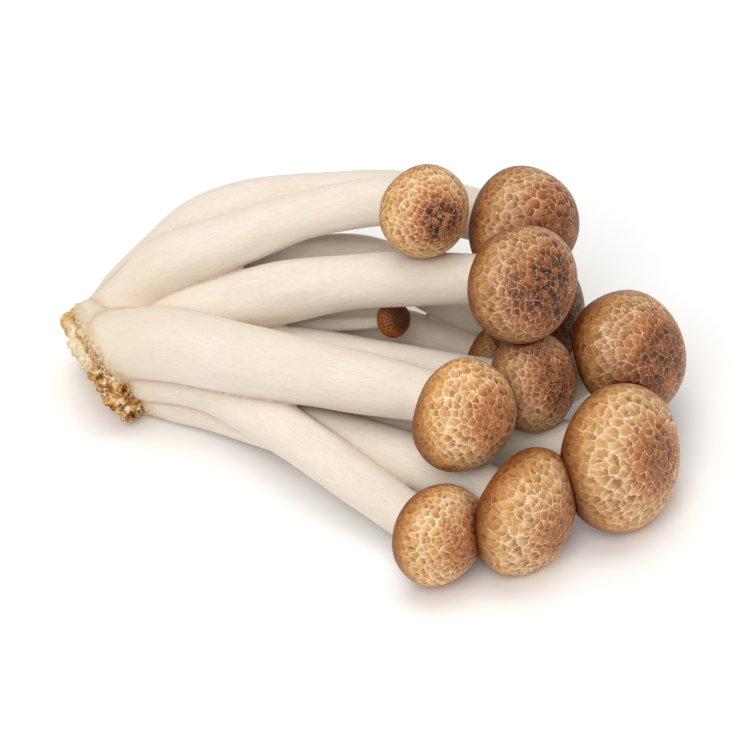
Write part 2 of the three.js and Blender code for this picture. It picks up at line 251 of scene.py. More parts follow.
# How far points are from the room that a cap takes, below 0 inside it, and the way out of it.
def room_distance(points, mushroom):
    local = to_local(points, mushroom)
    angle = np.arctan2(local[:, 2], local[:, 0])
    fat = swell(mushroom, angle)
    flat = np.stack([np.hypot(local[:, 0], local[:, 2]) / fat, local[:, 1]], axis=1)
    outline = dome_outline(mushroom, 20, 8)
    outline = np.concatenate([outline, [(0, outline[-1, 1])]])
    best = np.full(len(points), 1e9)
    nearest = np.zeros((len(points), 2))
    for start, end in zip(outline[:-1], outline[1:]):
        along = end - start
        share = np.clip((flat - start) @ along / (along @ along), 0, 1)
        foot = start + share[:, None] * along
        distance = np.linalg.norm(flat - foot, axis=1)
        closer = distance < best
        best[closer] = distance[closer]
        nearest[closer] = foot[closer]
    radius, tall = mushroom["radius"], mushroom["tall"]
    widest = WIDEST * radius * tall
    above = (flat[:, 0] / radius) ** 2 + ((flat[:, 1] - widest) / (CAP_RISE * radius * tall)) ** 2 < 1
    rolled = np.maximum(flat[:, 0] / radius - (1 - MARGIN), 0) / MARGIN
    below = rolled ** 2 + ((flat[:, 1] - widest) / (CAP_DROP * radius)) ** 2 < 1
    inside = np.where(flat[:, 1] > widest, above, below)
    outward = np.where(inside[:, None], nearest - flat, flat - nearest)
    outward /= np.linalg.norm(outward, axis=1, keepdims=True) + 1e-9
    way = np.stack([outward[:, 0] * np.cos(angle), outward[:, 1], outward[:, 0] * np.sin(angle)], axis=1)
    return np.where(inside, -best, best), way @ mushroom["axes"].T


# Soft flesh gives way to the caps in front of it.
def pressed(points, in_front, gap=0.12, softness=0.12):
    points = points.copy()
    for other in in_front:
        near = np.linalg.norm(points - other["at"], axis=1) < 1.3 * other["radius"] * max(1, other["tall"])
        if not near.any():
            continue
        distance, way = room_distance(points[near], other)
        push = softness * np.logaddexp(0, (gap - distance) / softness)
        push[distance > gap + 6 * softness] = 0
        points[near] += push[:, None] * way
    return points


# How near points of one cap are to the other caps, for the painted shade between caps: 1 where they touch,
# and 0 from a few millimetres away.
def shade_between_caps(points, mushroom):
    near = np.zeros(len(points))
    for other in MUSHROOMS:
        if other is not mushroom:
            distance = np.maximum(room_distance(points, other)[0], 0)
            near = np.maximum(near, np.exp(-distance / CAP_SHADE_REACH))
    return near


# Nothing reaches below the surface: what would is flat there.
def resting(points):
    lift = np.maximum(-world_height(points), 0)
    return points + lift[:, None] * (0, math.sin(LEAN), math.cos(LEAN))


def new_piece(name, face_points, faces, attributes, material, node):
    mesh = bpy.data.meshes.new(name)
    mesh.from_pydata(face_to_world(resting(face_points)).tolist(), [], faces)
    for label, values in attributes.items():
        values = np.asarray(values, np.float32)
        kind, field = ("FLOAT_VECTOR", "vector") if values.ndim == 2 else ("FLOAT", "value")
        mesh.attributes.new(label, kind, "POINT").data.foreach_set(field, values.ravel())
    mesh.polygons.foreach_set("use_smooth", [True] * len(mesh.polygons))
    mesh.materials.append(material)
    mesh.update()
    piece = bpy.data.objects.new(name, mesh)
    bpy.context.scene.collection.objects.link(piece)
    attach(piece, "root")
    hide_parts(node)


# Where the marks on a cap are, in cap radii from its dark middle: smaller near it and at the margin.
def net_place(local, mushroom):
    radius, tall = mushroom["radius"], mushroom["tall"]
    inner = np.array([0, WIDEST * radius * tall, 0])
    top = to_face(np.array([[0, (WIDEST + CAP_RISE) * radius * tall, 0]]), mushroom)[0]
    middle = top + np.array([*mushroom["disc"], 0])
    pole = to_local(middle[None], mushroom)[0] - inner
    pole /= np.linalg.norm(pole)
    side = np.cross(pole, (0.3, 0.2, 0.93))
    side /= np.linalg.norm(side)
    other = np.cross(pole, side)
    way = local - inner
    way /= np.linalg.norm(way, axis=1, keepdims=True) + 1e-9
    away = np.arccos(np.clip(way @ pole, -1, 1))
    around = np.arctan2(way @ other, way @ side)
    reach = away + 0.18 * (1 - np.exp(-away / 0.4)) + 0.06 * away ** 3
    return reach, around, away


def build_cap(mushroom, in_front, material):
    number, radius = mushroom["number"], mushroom["radius"]
    local, faces = turned(cap_outline(mushroom), CAP_COLUMNS)
    angle = np.arctan2(local[:, 2], local[:, 0])
    local[:, [0, 2]] *= swell(mushroom, angle)[:, None]
    reach, around, away = net_place(local, mushroom)
    bumps = 0.010 * unevenness(local, 1.1 * radius, 100 + number)
    wrinkles = 0.0025 * unevenness(local, 0.22 * radius, 200 + number, 24) * (1 - smoothstep(away, 0.5, 1.0))
    local *= (1 + bumps + wrinkles)[:, None]
    offset = 11.3 * number
    outward = np.stack([np.cos(around), np.sin(around), np.zeros(len(local))], axis=1)
    net = reach[:, None] * outward + (offset, -0.7 * offset, offset)
    attributes = {"net": net, "outward": outward, "away": away}
    attributes["tone"] = np.full(len(local), mushroom["tone"])
    attributes["depth"] = np.full(len(local), mushroom["depth"])
    attributes["young"] = np.full(len(local), float(radius < BUTTON))
    # Painted shade on the cap where it lies close to another cap, 1 where they touch.
    attributes["pressed"] = shade_between_caps(to_face(local, mushroom), mushroom)
    below = -local[:, 1] / radius - 0.2 * mushroom["tall"]
    attributes["under"] = smoothstep(below, 0.3, 0.42)
    points = pressed(to_face(local, mushroom), in_front)
    name, node = f"cap_skin_{number:02d}", f"cap_{number:02d}"
    new_piece(name, points, faces, attributes, material, node)


# Gills: thin ridges from the stem to the margin, every second one short, in one ring that closes above.
def build_gills(mushroom, in_front, material):
    number, radius = mushroom["number"], mushroom["radius"]
    widest = WIDEST * radius * mushroom["tall"]
    socket, rim = mushroom["neck"] + 0.5 * GAP, LIP * radius - 0.4 * GAP
    ceiling = widest + RECESS * radius - 0.15
    columns = GILL_COUNT * GILL_COLUMNS
    angles = np.arange(columns) / columns * 2 * math.pi
    gill = np.arange(columns) // GILL_COLUMNS
    place = (np.arange(columns) % GILL_COLUMNS) / GILL_COLUMNS
    ridge = np.clip(1 - np.abs(place - 0.5) / 0.26, 0, 1)
    start = np.select([gill % 4 == 0, gill % 4 == 2], [0.0, 0.25], 0.55)
    shares = np.linspace(0, 1, 12)
    reach = socket + shares * (rim - socket)
    grown = smoothstep(shares[:, None], start[None], start[None] + 0.18) * ridge[None]
    edge = GILL_EDGE * (1 - 0.5 * shares ** 6)
    floor = GILL_VALLEY * (1 - 0.3 * shares ** 2)
    level = widest + radius * (floor[:, None] + grown * (edge - floor)[:, None])
    wobble = 0.012 * np.sin(5 * angles + number)[None] * shares[:, None]
    turn = angles[None] + wobble
    lower = np.stack([reach[:, None] * np.cos(turn), level, reach[:, None] * np.sin(turn)], axis=2)
    rings = [lower[row] for row in range(len(shares))]
    # Painted shade between the gills: 1 in the recess between them and on the ceiling above, 0 on their
    # edges.
    valley_shade = [1 - grown[row] for row in range(len(shares))]
    top = np.full(columns, ceiling)
    for wall in (rim, socket):
        rings.append(np.stack([wall * np.cos(angles), top, wall * np.sin(angles)], axis=1))
    valley_shade += [np.ones(columns)] * 2
    local = np.concatenate(rings)
    count = len(rings)
    faces = []
    step = np.arange(columns)
    after = (step + 1) % columns
    for ring in range(count):
        near, far = ring * columns, (ring + 1) % count * columns
        faces += [(near + a, far + a, far + b, near + b) for a, b in zip(step, after)]
    angle = np.arctan2(local[:, 2], local[:, 0])
    local[:, [0, 2]] *= (1 + 0.9 * (swell(mushroom, angle) - 1))[:, None]
    streak = np.stack([np.cos(angle) * 30, np.sin(angle) * 30, np.hypot(local[:, 0], local[:, 2])], axis=1)
    attributes = {"valley_shade": np.concatenate(valley_shade), "streak": streak}
    points = pressed(to_face(local, mushroom), in_front)
    name, node = f"gill_ring_{number:02d}", f"gills_{number:02d}"
    new_piece(name, points, faces, attributes, material, node)


# A curve through the points, centripetal, with its parameter even from point to point.
def curve_points(points, parameters):
    points = np.asarray(points, float)
    last = len(points) - 1
    padded = np.concatenate([[2 * points[0] - points[1]], points, [2 * points[-1] - points[-2]]])
    out = []
    for t in parameters:
        place = min(int(t * last), last - 1)
        share = t * last - place
        p0, p1, p2, p3 = padded[place:place + 4]
        d0, d1, d2 = (math.sqrt(np.linalg.norm(b - a)) or 1.0 for a, b in ((p0, p1), (p1, p2), (p2, p3)))
        m1 = ((p1 - p0) / d0 - (p2 - p0) / (d0 + d1) + (p2 - p1) / d1) * d1
        m2 = ((p2 - p1) / d1 - (p3 - p1) / (d1 + d2) + (p3 - p2) / d2) * d1
        c2 = 3 * (p2 - p1) - 2 * m1 - m2
        c3 = 2 * (p1 - p2) + m1 + m2
        out.append(p1 + share * (m1 + share * (c2 + share * c3)))
    return np.array(out)


# The middle line of a stem: places, radii, and two ways across it.
def stem_line(mushroom, count=72):
    radius, tall = mushroom["radius"], mushroom["tall"]
    end = BUTTON_STEM_END if radius < BUTTON else STEM_END
    levels = np.array([[0, (WIDEST * tall + share) * radius, 0] for share in (-0.95, -0.6, end)])
    points = [stop[:3] for stop in mushroom["stem"]] + to_face(levels, mushroom).tolist()
    girths = np.array([stop[3] for stop in mushroom["stem"]] + [mushroom["neck"]] * 3)
    parameters = np.linspace(0, 1, count)
    centres = curve_points(points, parameters)
    last = len(points) - 1
    place = np.minimum((parameters * last).astype(int), last - 1)
    between = smoothstep(parameters * last - place, 0, 1)
    radii = girths[place] * (1 - between) + girths[place + 1] * between
    tangents = np.gradient(centres, axis=0)
    tangents /= np.linalg.norm(tangents, axis=1, keepdims=True)
    across = np.cross((0, 0, 1), tangents)
    across /= np.linalg.norm(across, axis=1, keepdims=True)
    deep = np.cross(tangents, across)
    lengths = np.concatenate([[0], np.cumsum(np.linalg.norm(np.diff(centres, axis=0), axis=1))])
    return dict(centres=centres, radii=radii, tangents=tangents, across=across, deep=deep, lengths=lengths)


# How far points are from a stem's skin, and their place in the stem's own axes.
def stem_distance(points, line, number):
    centres = line["centres"]
    squared = (points ** 2).sum(1)[:, None] - 2 * points @ centres.T + (centres ** 2).sum(1)[None]
    nearest = np.clip(squared.argmin(axis=1), 1, len(centres) - 2)
    before, after = centres[nearest - 1], centres[nearest + 1]
    along = after - before
    share = np.clip(((points - before) * along).sum(1) / (along ** 2).sum(1), 0, 1)
    place = nearest - 1 + 2 * share
    low = np.clip(place.astype(int), 0, len(centres) - 2)
    part = place - low

    def between(values):
        weight = part if values.ndim == 1 else part[:, None]
        return values[low] * (1 - weight) + values[low + 1] * weight

    offset = points - between(centres)
    x = (offset * between(line["across"])).sum(1)
    z = (offset * between(line["deep"])).sum(1)
    reach = np.linalg.norm(offset, axis=1)
    length = between(line["lengths"])
    own = np.stack([x, z, length], axis=1)
    around = np.arctan2(z, x)
    ring = np.stack([np.cos(around) * 4, np.sin(around) * 4, 0.28 * length], axis=1)
    uneven = 0.014 * unevenness(ring, 7.0, 300 + number) + 0.006 * unevenness(ring, 2.4, 340 + number)
    radius = between(line["radii"]) * (1 + STEM_OVAL * np.cos(2 * around) + uneven)
    distance = reach - radius
    behind = -((points - centres[0]) @ line["tangents"][0])
    beyond = (points - centres[-1]) @ line["tangents"][-1]
    return np.maximum(distance, np.maximum(behind, beyond)), own


def foot_axes():
    turn = Vector((0, 1, 0)).rotation_difference(Vector(FOOT_GROWTH).normalized())
    return np.array(turn.to_matrix())


def foot_distance(points):
    local = (points - FOOT_AT) @ foot_axes()
    scaled = local / FOOT_SIZE
    lumps = 0.03 * unevenness(local, 5.0, 400) + 0.012 * unevenness(local, 1.8, 401)
    ball = (np.linalg.norm(scaled, axis=1) - 1 - lumps) * FOOT_SIZE.min()
    return np.maximum(ball, -CUT_BEHIND - local[:, 1]), local


# The whole flesh: the stems and the foot, grown into each other near the foot and only touching further out.
def flesh_distance(points, lines):
    distances, places = [], []
    for mushroom, line in zip(MUSHROOMS, lines):
        distance, own = stem_distance(points, line, mushroom["number"])
        own[:, 2] += 40.0 * mushroom["number"]
        distances.append(distance)
        places.append(own)
    for index, mushroom in enumerate(MUSHROOMS):
        reach = 1.3 * mushroom["radius"] * max(1, mushroom["tall"])
        near = np.linalg.norm(points - mushroom["at"], axis=1) < reach
        if near.any():
            room = 0.15 - room_distance(points[near], mushroom)[0]
            for other in range(len(MUSHROOMS)):
                if other != index:
                    distances[other][near] = np.maximum(distances[other][near], room)
    distance, own = foot_distance(points)
    distances.append(distance)
    places.append(own)
    distances = np.stack(distances)
    melt = 0.10 + 0.55 * (1 - smoothstep(points[:, 0], -44, -26))
    low = distances.min(axis=0)
    joined = low - melt * np.log(np.exp(-(distances - low) / melt).sum(axis=0))
    return joined, distances, places


def tube(line, sides=20):
    angles = np.arange(sides) / sides * 2 * math.pi
    across = np.cos(angles)[None, :, None] * line["across"][:, None]
    deep = np.sin(angles)[None, :, None] * line["deep"][:, None]
    rings = line["centres"][:, None] + line["radii"][:, None, None] * (across + deep)
    count = len(rings)
    points = np.concatenate([rings.reshape(-1, 3), line["centres"][[0, -1]]])
    faces = []
    for ring in range(count - 1):
        for a in range(sides):
            b = (a + 1) % sides
            near, far = ring * sides, (ring + 1) * sides
            faces.append((near + a, near + b, far + b, far + a))
    first, final = count * sides, count * sides + 1
    for a in range(sides):
        b = (a + 1) % sides
        faces.append((first, b, a))
        faces.append((final, (count - 1) * sides + a, (count - 1) * sides + b))
    return points, faces


# One skin round overlapping closed forms, as points and quads.
def one_skin(forms, voxel):
    points, faces, start = [], [], 0
    for form_points, form_faces in forms:
        points.append(form_points)
        faces += [tuple(start + i for i in face) for face in form_faces]
        start += len(form_points)
    mesh = bpy.data.meshes.new("rough")
    mesh.from_pydata(np.concatenate(points).tolist(), [], faces)
    rough = bpy.data.objects.new("rough", mesh)
    bpy.context.scene.collection.objects.link(rough)
    remesh = rough.modifiers.new("skin", "REMESH")
    remesh.mode = "VOXEL"
    remesh.voxel_size = voxel
    skin = rough.evaluated_get(bpy.context.evaluated_depsgraph_get()).to_mesh()
    out = np.empty(len(skin.vertices) * 3, np.float32)
    skin.vertices.foreach_get("co", out)
    corners = [tuple(face.vertices) for face in skin.polygons]
    normals = np.empty(len(skin.vertices) * 3, np.float32)
    skin.vertices.foreach_get("normal", normals)
    bpy.data.objects.remove(rough)
    bpy.data.meshes.remove(mesh)
    return out.reshape(-1, 3).astype(float), corners, normals.reshape(-1, 3).astype(float)


def ball(axes, at, size, rows=16, columns=28):
    heights = np.linspace(math.pi / 2, -math.pi / 2, rows)
    outline = np.stack([np.cos(heights), np.sin(heights)], axis=1)
    outline[[0, -1], 0] = 0
    points, faces = turned(outline, columns)
    return points * size @ axes.T + at, faces


def build_flesh(material):
    lines = [stem_line(mushroom) for mushroom in MUSHROOMS]
    forms = [tube(line) for line in lines] + [ball(foot_axes(), FOOT_AT, FOOT_SIZE)]
    points, faces, normals = one_skin(forms, FLESH_VOXEL)
    for _ in range(3):
        distance, _, _ = flesh_distance(points, lines)
        points -= np.clip(distance, -0.8, 0.8)[:, None] * normals
    _, distances, places = flesh_distance(points, lines)
    order = np.argsort(distances, axis=0)
    nearest = order[0]
    index = np.arange(len(points))
    fibre = np.stack(places)[nearest, index]
    second = distances[order[1], index] - distances[nearest, index]
    # Painted shade in the creases: 1 where the flesh is as near another stem as its own, fading within about
    # half a millimetre.
    crease_shade = np.exp(-second / 0.45)
    root = 1 - smoothstep(points[:, 0], -46, -22)
    above_cut = ((points - FOOT_AT) @ foot_axes())[:, 1] + CUT_BEHIND
    cut = 1 - smoothstep(above_cut, 0.4, 3.6)
    ragged = 0.30 * unevenness(points, 3.4, 410) + 0.16 * unevenness(points, 1.4, 411, 24)
    points += (cut * ragged)[:, None] * normals
    attributes = {"fibre": fibre, "crease_shade": crease_shade, "root": root, "cut": cut}
    new_piece("flesh", points, faces, attributes, material, "stems_and_foot")


# The crust on the cut face: coarse crumbs of growing medium on one side, pale flakes on the other.
def build_crust(material):
    axes = foot_axes()
    rng = np.random.default_rng(11)
    middle = np.array([CRUST_SHIFT, -CUT_BEHIND - 0.5 * CRUST_SIZE[1], 0])
    forms = [ball(axes, FOOT_AT + axes @ middle, CRUST_SIZE * (0.88, 0.55, 0.88))]

    def add_lump(degrees, reach, level, size):
        angle = math.radians(degrees)
        across, deep = reach * CRUST_SIZE[0] * math.cos(angle), reach * CRUST_SIZE[2] * math.sin(angle)
        place = middle + (across, level, deep)
        turn = Vector((1, 0, 0)).rotation_difference(Vector(rng.normal(size=3)).normalized())
        forms.append(ball(axes @ np.array(turn.to_matrix()), FOOT_AT + axes @ place, np.array(size), 8, 12))

    for _ in range(120):
        add_lump(rng.uniform(-40, 96), math.sqrt(rng.uniform(0.62, 0.94)), rng.uniform(-0.7, 1.9),
                 rng.uniform(0.6, 1.4, 3))
    for _ in range(26):
        add_lump(rng.uniform(100, 205), math.sqrt(rng.uniform(0.5, 0.72)), rng.uniform(-0.1, 0.7),
                 rng.uniform((1.4, 1.0, 0.9), (2.6, 1.7, 1.3)))
    for _ in range(110):
        add_lump(rng.uniform(200, 325), math.sqrt(rng.uniform(0.1, 0.92)), rng.uniform(-1.0, 0.3),
                 rng.uniform(0.5, 1.2, 3))
    points, faces, normals = one_skin(forms, CRUST_VOXEL)
    local = (points - FOOT_AT) @ axes - middle
    side = np.degrees(np.arctan2(local[:, 2], local[:, 0])) % 360
    pale = smoothstep(side, 84, 108) * (1 - smoothstep(side, 190, 215))
    coarse, fine = unevenness(points, 1.3, 500, 24), unevenness(points, 0.6, 501, 24)
    points += normals * ((0.16 * coarse + 0.09 * fine) * (1 - 0.6 * pale))[:, None]
    # Painted shade: 1 down in the hollows between crumbs, 0 on their tops.
    hollow_shade = smoothstep(-0.6 * coarse - 0.5 * fine, 0.1, 0.9)
    attributes = {"pale": pale, "hollow_shade": hollow_shade, "gold": smoothstep(side, 138, 165)}
    new_piece("growing_medium", points, faces, attributes, material, "crust")


# Materials. A colour is given as it looks on a screen.
def tint(red, green, blue):
    def linear(value):
        value /= 255
        return value / 12.92 if value <= 0.04045 else ((value + 0.055) / 1.055) ** 2.4

    return (linear(red), linear(green), linear(blue), 1.0)


class Paint:
    """A material's nodes, with its shader's plain values."""

    def __init__(self, name):
        self.material = bpy.data.materials.new(name)
        self.material.use_nodes = True
        self.tree = self.material.node_tree
        self.shader = self.tree.nodes["Principled BSDF"]

    def node(self, kind, inputs, **settings):
        made = self.tree.nodes.new(kind)
        for key, value in settings.items():
            setattr(made, key, value)
        for key, value in inputs.items():
            self.put(made.inputs[key], value)
        return made

    def put(self, socket, value):
        if isinstance(value, bpy.types.NodeSocket):
            self.tree.links.new(value, socket)
        else:
            socket.default_value = value

    def attribute(self, name, kind="Fac"):
        return self.node("ShaderNodeAttribute", {}, attribute_name=name).outputs[kind]

    def place(self, vector, scale):
        return self.node("ShaderNodeMapping", {"Vector": vector, "Scale": scale}).outputs["Vector"]

    def noise(self, vector, scale, detail=2.0, roughness=0.5, output="Fac"):
        inputs = {"Vector": vector, "Scale": scale, "Detail": detail, "Roughness": roughness}
        return self.node("ShaderNodeTexNoise", inputs).outputs[output]

    def voronoi(self, vector, scale, feature, output, dimensions="2D"):
        inputs = {"Vector": vector, "Scale": scale}
        settings = {"voronoi_dimensions": dimensions, "feature": feature}
        return self.node("ShaderNodeTexVoronoi", inputs, **settings).outputs[output]

    def vector(self, operation, first, second):
        made = self.node("ShaderNodeVectorMath", {}, operation=operation)
        self.put(made.inputs[0], first)
        self.put(made.inputs["Scale" if operation == "SCALE" else 1], second)
        return made.outputs["Value" if operation == "DOT_PRODUCT" else "Vector"]

    def math(self, operation, *values):
        made = self.node("ShaderNodeMath", {}, operation=operation)
        for index, value in enumerate(values):
            self.put(made.inputs[index], value)
        return made.outputs[0]

    def product(self, first, *others):
        for other in others:
            first = self.math("MULTIPLY", first, other)
        return first

    def span(self, value, low, high, to_low=0.0, to_high=1.0, smooth=True):
        kind = "SMOOTHSTEP" if smooth else "LINEAR"
        inputs = {"Value": value, "From Min": low, "From Max": high, "To Min": to_low, "To Max": to_high}
        return self.node("ShaderNodeMapRange", inputs, interpolation_type=kind).outputs["Result"]

    def mix(self, share, first, second, blend="MIX"):
        made = self.node("ShaderNodeMix", {}, data_type="RGBA", blend_type=blend)
        for index, value in ((0, share), (6, first), (7, second)):
            self.put(made.inputs[index], value)
        return made.outputs[2]

    def darken(self, share, colour, shade):
        return self.mix(share, colour, self.mix(1.0, colour, shade, "MULTIPLY"))

    def bump(self, height, strength, distance, normal=None):
        inputs = {"Height": height, "Strength": strength, "Distance": distance}
        if normal is not None:
            inputs["Normal"] = normal
        return self.node("ShaderNodeBump", inputs).outputs["Normal"]

    def shade(self, **values):
        for key, value in values.items():
            self.put(self.shader.inputs[key.replace("_", " ")], value)


# What all the marks of a cap are made from. near and middle are 1 round the cap's dark middle, margin at its
# margin and between from one to the other. edge is the way to a cell's border, rounded the same with round
# corners, and torn the same but ragged. slope runs from a cell's inner end to its outer end.
def cap_marks(paint):
    marks = SimpleNamespace()
    for label in ("away", "tone", "depth", "young", "under", "pressed"):
        setattr(marks, label, paint.attribute(label))
    net = paint.attribute("net", "Vector")
    outward = paint.attribute("outward", "Vector")
    where = net
    for scale, reach in NET_DRIFTS:
        drift = paint.noise(net, scale, 2.0, 0.5, "Color")
        drift = paint.vector("SUBTRACT", drift, (0.5, 0.5, 0.5))
        where = paint.vector("ADD", where, paint.vector("SCALE", drift, reach))
    marks.patches = paint.noise(net, 1.8, 3.0, 0.6)
    marks.stretches = paint.noise(net, 3.4, 2.0, 0.5)
    marks.blots = paint.noise(net, 4.0, 3.0, 0.6)
    marks.threads = paint.noise(net, 11.0, 3.0, 0.6)
    marks.breaks = paint.noise(net, 17.0, 3.0, 0.6)
    marks.dust = paint.noise(net, 30.0, 4.0, 0.75)
    marks.water = paint.span(paint.noise(where, 8.0, 4.0, 0.65), 0.36, 0.64)

    marks.edge = paint.voronoi(where, CELLS, "DISTANCE_TO_EDGE", "Distance")
    marks.small = paint.voronoi(where, 2.3 * CELLS, "DISTANCE_TO_EDGE", "Distance")
    draw = paint.node("ShaderNodeSeparateColor", {"Color": paint.voronoi(where, CELLS, "F1", "Color")})
    marks.first_draw = draw.outputs["Red"]
    marks.second_draw = draw.outputs["Green"]
    offset = paint.vector("SUBTRACT", where, paint.voronoi(where, CELLS, "F1", "Position"))
    marks.slope = paint.product(paint.vector("DOT_PRODUCT", offset, outward), CELLS)
    corner = paint.math("SUBTRACT", paint.voronoi(where, CELLS, "F1", "Distance"), 0.42)
    corner = paint.product(paint.math("MAXIMUM", corner, 0.0), 0.2)
    marks.rounded = paint.math("SUBTRACT", marks.edge, corner)
    ragged = paint.span(marks.dust, 0.3, 0.7, -0.09, 0.09, smooth=False)
    marks.torn = paint.math("ADD", marks.rounded, ragged)

    uneven = paint.math("ADD", marks.away, paint.span(marks.patches, 0.3, 0.7, 0.22, -0.22, smooth=False))
    uneven = paint.math("SUBTRACT", uneven, paint.product(marks.tone, 0.5))
    marks.near = paint.span(uneven, 1.0, 0.42)
    marks.middle = paint.span(uneven, 0.66, 0.2)
    marks.margin = paint.span(marks.away, 1.1, 1.65)
    marks.between = paint.product(paint.span(marks.away, 0.45, 0.9), paint.span(marks.away, 1.6, 1.1))
    return marks


# The dark part of each cell: its end that faces the middle of the cap, and some of its rim.
def cell_end(paint, marks):
    inner, border = paint.span(marks.slope, 0.36, -0.34), paint.span(marks.rounded, 0.24, 0.06)
    end = paint.product(inner, paint.span(marks.first_draw, 0.0, 1.0, 0.3, 1.0))
    rim = paint.product(border, paint.span(marks.second_draw, 0.2, 1.0, 0.0, 0.4))
    return paint.math("MAXIMUM", end, rim)


def golden_cells(paint, marks):
    colour = paint.mix(marks.second_draw, tint(222, 164, 90), tint(196, 135, 68))
    colour = paint.mix(paint.product(marks.water, 0.4), colour, tint(234, 184, 118))
    lit = paint.product(marks.between, paint.span(marks.patches, 0.4, 0.62, 0.1, 0.7))
    colour = paint.mix(lit, colour, tint(241, 198, 134))
    colour = paint.mix(paint.product(cell_end(paint, marks), 0.85), colour, tint(152, 91, 40))
    tail = paint.product(paint.span(marks.slope, 0.04, 0.45), paint.span(marks.torn, 0.28, 0.02))
    tail = paint.product(tail, marks.between, paint.span(marks.patches, 0.36, 0.6, 0.4, 0.95))
    return paint.mix(tail, colour, tint(242, 212, 168))


# Round the middle of the cap the cells are redder, with dark blotches.
def brown_cells(paint, marks):
    colour = paint.mix(marks.second_draw, tint(220, 132, 70), tint(174, 95, 48))
    colour = paint.mix(paint.product(marks.water, 0.35), colour, tint(224, 152, 90))
    colour = paint.mix(paint.product(cell_end(paint, marks), 0.85), colour, tint(100, 48, 22))
    blotch = paint.product(paint.span(marks.blots, 0.4, 0.58, 0.1, 0.95), marks.middle, marks.depth)
    return paint.mix(blotch, colour, tint(68, 32, 18))


def dark_cracks(paint, marks):
    return paint.product(
        paint.span(marks.rounded, 0.1, 0.02),
        paint.span(marks.threads, 0.4, 0.54, 0.3, 1.0),
        marks.middle,
        paint.span(marks.depth, 0.0, 1.0, 0.25, 0.9),
    )


# The lines of the net: thin, torn and broken, and fainter in the middle of the cap.
def net_lines(paint, marks):
    width = paint.product(
        paint.span(marks.patches, 0.32, 0.68, 0.02, 0.042),
        paint.span(marks.threads, 0.34, 0.66, 0.3, 1.7),
        paint.span(marks.near, 0.0, 1.0, 1.0, 0.6),
    )
    core = paint.product(width, 0.4)
    rim = paint.math("ADD", paint.product(width, 1.6), 0.02)
    return paint.product(
        paint.span(marks.torn, core, rim, 1.0, 0.0),
        paint.span(marks.breaks, 0.42, 0.56, 0.12, 1.0),
        paint.span(marks.stretches, 0.4, 0.58, 0.5, 1.0),
        paint.span(marks.middle, 0.0, 1.0, 1.0, 0.45),
        paint.span(marks.margin, 0.0, 1.0, 1.0, 0.8),
    )


# The pale colour over the cells: fine veins, the net, and a frost of dust along it.
def add_net(paint, marks, colour):
    pale = paint.mix(marks.near, tint(248, 226, 195), tint(243, 204, 162))
    pale = paint.mix(marks.margin, pale, tint(236, 200, 150))
    pale = paint.darken(paint.product(marks.tone, marks.tone), pale, tint(132, 92, 62))
    veins = paint.product(paint.span(marks.small, 0.08, 0.02), paint.span(marks.dust, 0.4, 0.58, 0.2, 0.9))
    veins = paint.product(veins, marks.between, paint.span(marks.threads, 0.46, 0.58, 0.0, 0.8))
    frost = paint.product(paint.span(marks.dust, 0.52, 0.62), paint.span(marks.rounded, 0.26, 0.06))
    frost = paint.product(frost, marks.between, paint.span(marks.patches, 0.4, 0.6, 0.15, 0.8))
    for share in (veins, net_lines(paint, marks), frost):
        colour = paint.mix(share, colour, pale)
    return colour


def add_dots(paint, marks, colour):
    dots = paint.product(
        paint.span(marks.dust, 0.55, 0.6),
        paint.span(marks.edge, 0.11, 0.03),
        paint.span(marks.away, 1.4, 0.7, 0.0, 0.95),
        paint.span(marks.tone, 0.5, 0.8, 1.0, 0.2),
    )
    return paint.mix(dots, colour, tint(251, 232, 206))


# The button is darker than the open caps, with dark lines.
def bud_colour(paint, marks):
    colour = paint.mix(paint.span(marks.away, 1.3, 0.5), tint(186, 104, 44), tint(100, 52, 24))
    return paint.mix(paint.span(marks.rounded, 0.16, 0.04), colour, tint(48, 26, 14))


# Cap skin: amber cells in a thin, torn, whitish net. Each cell is darkest at the end that faces the middle
# of the cap and lighter at the other. Towards the middle the cells are redder and the net breaks up into
# dots. Caps are darker at the margin, partly their own colour and partly painted shade on the rounded edge,
# and carry painted shade where they lie close to a neighbouring cap.
def cap_material():
    paint = Paint("cap_skin")
    marks = cap_marks(paint)
    deep = paint.product(marks.near, paint.span(marks.depth, 0.0, 1.0, 0.7, 1.0, smooth=False))
    colour = paint.mix(deep, golden_cells(paint, marks), brown_cells(paint, marks))
    colour = paint.mix(dark_cracks(paint, marks), colour, tint(62, 30, 18))
    colour = paint.darken(paint.product(marks.tone, 0.8), colour, tint(140, 90, 56))
    colour = add_net(paint, marks, colour)
    colour = add_dots(paint, marks, colour)
    # Darker towards the margin: partly the cap's own colour, partly painted shade on its rounded edge.
    colour = paint.darken(paint.span(marks.away, 1.35, 1.85), colour, tint(176, 136, 96))
    # Painted shade where the cap lies close to another cap, darkest where they touch.
    colour = paint.darken(paint.product(marks.pressed, 0.85), colour, tint(140, 76, 34))
    colour = paint.mix(marks.young, colour, bud_colour(paint, marks))
    colour = paint.mix(marks.under, colour, tint(220, 192, 152))

    relief = paint.product(paint.span(marks.edge, 0.0, 0.3), paint.span(marks.near, 0.0, 1.0, 0.3, 1.0))
    normal = paint.bump(relief, 0.5, 0.00009)
    normal = paint.bump(marks.dust, 0.25, 0.00004, normal)
    rough = paint.span(marks.threads, 0.3, 0.7, 0.42, 0.56)
    paint.shade(Base_Color=colour, Roughness=rough, Normal=normal, Subsurface_Weight=0.1,
                Subsurface_Radius=(0.001, 0.0005, 0.0003), Subsurface_Scale=1.0, Specular_IOR_Level=0.28)
    return paint.material
